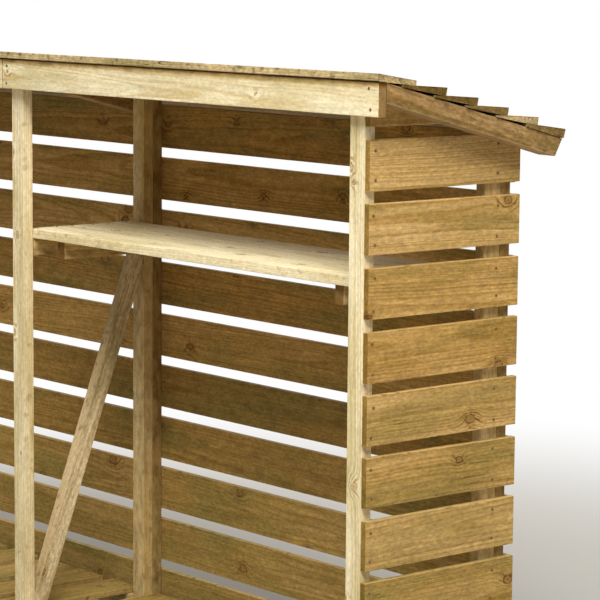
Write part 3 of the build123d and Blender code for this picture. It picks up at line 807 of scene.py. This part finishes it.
brace = {"foot": 143 * mm, "topSetback": 24 * mm, "width": 37 * mm, "spare": 160 * mm,
         "look": {"Tone": -0.05, "Seed": 110, "Columns": 5}}
low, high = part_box("middle_brace")
lean = math.atan2(high.z - brace["foot"], high.y - brace["topSetback"] - low.y)
up = Vector((0, math.cos(lean), math.sin(lean)))
aside = Vector((0, -math.sin(lean), math.cos(lean)))
start = Vector(((low.x + high.x) / 2, low.y, brace["foot"])) - aside * brace["width"] / 2 - up * brace["spare"]
piece = makeTimber("middle_brace", weatheredWood, {
    **brace["look"], "Origin": start, "Along": up, "Across": aside, "Through": up.cross(aside),
    "Length": (high.z - brace["foot"]) / math.sin(lean) + 2 * brace["spare"], "Width": brace["width"],
    "Thickness": high.x - low.x})
# sawn off where it meets the posts, the sill and the shelf's rail
shape = bmesh.new()
shape.from_mesh(piece.data)
for point, normal in ((low, -axes["y"]), (low, -axes["z"]), (high, axes["y"]), (high, axes["z"])):
    everything = shape.verts[:] + shape.edges[:] + shape.faces[:]
    cut = bmesh.ops.bisect_plane(shape, geom=everything, plane_co=point, plane_no=normal, clear_outer=True)
    rim = [e for e in cut["geom_cut"] if isinstance(e, bmesh.types.BMEdge)]
    bmesh.ops.holes_fill(shape, edges=rim)
shape.to_mesh(piece.data)
shape.free()
handOver(piece, "middle_brace")
print("rafters and brace made")

# Roof: feather-edged boards, thick edge to the back, but to the front on the first one
roof = {
    "boards": (  # width, front and back edge, and how brown it is
        (92 * mm, 14 * mm, 10 * mm, 0.1), (107 * mm, 4 * mm, 16 * mm, 0.4), (107 * mm, 4 * mm, 16 * mm, 0.4),
        (107 * mm, 4 * mm, 16 * mm, 0.4), (107 * mm, 4 * mm, 16 * mm, -0.1),
        (101 * mm, 6.36 * mm, 18.36 * mm, 0.2)),
    "bedded": 1.6 * mm, "step": 9 * mm, "seed": 120,
    "look": {"Wear": 1.2 * mm, "Uneven": 0.8 * mm, "Ragged": 3.5 * mm},
}
for number, (width, frontEdge, backEdge, tone) in enumerate(roof["boards"], 1):
    node = f"roof_board_{number}"
    low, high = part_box(node)
    tilt = math.asin((high.z - low.z) / math.hypot(width, frontEdge)) - math.atan(frontEdge / width)
    lowFront = Vector((low.x, low.y, low.z + width * math.sin(tilt)))
    if number < len(roof["boards"]):  # the back edge beds down on the next board's face
        tilt += roof["bedded"] / width
    across = Vector((0, math.cos(tilt), -math.sin(tilt)))
    rise = Vector((0, math.sin(tilt), math.cos(tilt)))
    thick, thin = max(frontEdge, backEdge), min(frontEdge, backEdge)
    origin = lowFront + across * width / 2 + rise * thick / 2
    along = axes["x"]
    if frontEdge > backEdge:  # the same board turned end for end
        along, across = -along, -across
        origin.x = high.x
    layTimber(node, roofWood, {
        **roof["look"], "Origin": origin, "Along": along, "Across": across, "Through": rise,
        "Feather": 1 - thin / thick, "Length": high.x - low.x, "Width": width, "Thickness": thick,
        "Tone": tone, "Seed": roof["seed"] + number}, roof["step"])
    slope = (thick - thin) / width
    facing = (rise - across * slope).normalized()
    for side in sides:
        for aside in nails["roofAside"]:
            spot = origin + across * aside + rise * (aside - width / 2) * slope + rise * thick / 2
            spot.x = middleOf("rafter_" + side).x
            nailSpots.append((spot - facing * nails["roofSink"], facing))
print("roof made")

nailInputs = {
    "Geometry": ("Points",),
    "Float": ("Head radius", "Head crown", "Stain radius", "Stain height", "Jitter", "Tilt"),
    "Int": ("Seed",),
    "Material": ("Steel", "Stain"),
}


def makeNailTree(look):
    tree, add, given = newTree("nailHeads", nailInputs)
    facing = add("GeometryNodeInputNamedAttribute", {"Name": "facing"}, data_type="FLOAT_VECTOR").outputs[0]
    wander = add("FunctionNodeRandomValue", {"Min": (-1, -1, -1), "Seed": given["Seed"]}, data_type="FLOAT_VECTOR")
    along = add("ShaderNodeVectorMath PROJECT", [wander, facing])
    aside = add("ShaderNodeVectorMath SUBTRACT", [wander, along])
    aside = add("ShaderNodeVectorMath SCALE", {0: aside, "Scale": given["Jitter"]})
    spots = add("GeometryNodeSetPosition", {"Geometry": given["Points"], "Offset": aside})
    driven = add("ShaderNodeVectorMath SCALE", {0: wander, "Scale": given["Tilt"]})
    driven = add("ShaderNodeVectorMath ADD", [facing, driven])
    head = add("GeometryNodeMeshUVSphere", {"Segments": look["sides"], "Rings": look["rings"], "Radius": 1.0})
    stain = add("GeometryNodeMeshCylinder", {"Vertices": look["sides"], "Radius": 1.0, "Depth": 2.0})
    both = add("GeometryNodeJoinGeometry")
    for shape, radius, depth, coat, way in ((head, "Head radius", "Head crown", "Steel", driven),
                                            (stain, "Stain radius", "Stain height", "Stain", facing)):
        size = add("ShaderNodeCombineXYZ", [given[radius], given[radius], given[depth]])
        shape = add("GeometryNodeTransform", {"Geometry": shape, "Scale": size})
        shape = add("GeometryNodeSetMaterial", {"Geometry": shape, "Material": given[coat]})
        turn = add("FunctionNodeAlignRotationToVector", {"Vector": way})
        placed = add("GeometryNodeInstanceOnPoints", {"Points": spots, "Instance": shape, "Rotation": turn})
        tree.links.new(placed.outputs[0], both.inputs[0])
    add("NodeGroupOutput", [add("GeometryNodeRealizeInstances", [both])])
    return tree


def makeNailSteel(look):
    # galvanised wire nail: dull zinc, gone brown where it has rusted through
    material, add = newShader(bpy.data.materials.new("weatheredGalvanisedSteel"))
    place = add("ShaderNodeTexCoord").outputs["Object"]
    rust = add("ShaderNodeTexNoise", {"Vector": place, "Scale": 1 / look["rustSize"], "Detail": 3.0})
    rust = add("ShaderNodeMapRange", [rust, *look["rusty"]])
    colour = add("ShaderNodeMix", {0: rust, 6: toLinear(look["zinc"]), 7: toLinear(look["rust"])}, data_type="RGBA")
    metal = add("ShaderNodeMapRange", [rust, 0.0, 1.0, *look["metal"]])
    rough = add("ShaderNodeMapRange", [rust, 0.0, 1.0, *look["rough"]])
    surface = add("ShaderNodeBsdfPrincipled", {
        "Base Color": colour.outputs[2], "Metallic": metal, "Roughness": rough})
    add("ShaderNodeOutputMaterial", [surface])
    return material


def makeNailStain(look):
    # iron and tannin blacken the crushed wood round each head
    material, add = newShader(bpy.data.materials.new("ironStainedSoftwood"))
    place = add("ShaderNodeTexCoord").outputs["Object"]
    mottle = add("ShaderNodeTexNoise", {"Vector": place, "Scale": 1 / look["mottleSize"], "Detail": 3.0})
    colour = add("ShaderNodeMix", {0: mottle, 6: toLinear(look["stainDark"]), 7: toLinear(look["stainPale"])},
                 data_type="RGBA")
    surface = add("ShaderNodeBsdfPrincipled", {"Base Color": colour.outputs[2], "Roughness": look["stainRough"]})
    add("ShaderNodeOutputMaterial", [surface])
    return material


nailLook = {
    "zinc": "#71583a", "rust": "#5c3c1c", "rustSize": 6.25 * mm, "rusty": (0.4, 0.6),
    "metal": (0.3, 0.05), "rough": (0.6, 0.9),  # where it is zinc, and where it is rust
    "stainDark": "#5a3f18", "stainPale": "#966f38", "mottleSize": 2 * mm, "stainRough": 0.85,
}
points = bpy.data.meshes.new("nailSpots")
points.from_pydata([spot for spot, facing in nailSpots], [], [])
facings = points.attributes.new("facing", "FLOAT_VECTOR", "POINT")
for number, (spot, facing) in enumerate(nailSpots):
    facings.data[number].vector = facing
coats = {"Steel": makeNailSteel(nailLook), "Stain": makeNailStain(nailLook)}
piece = bakeTree("nailHeads", makeNailTree(nails), {**nails, **coats}, points)
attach(piece, "root")
print("nails made:", len(nailSpots))
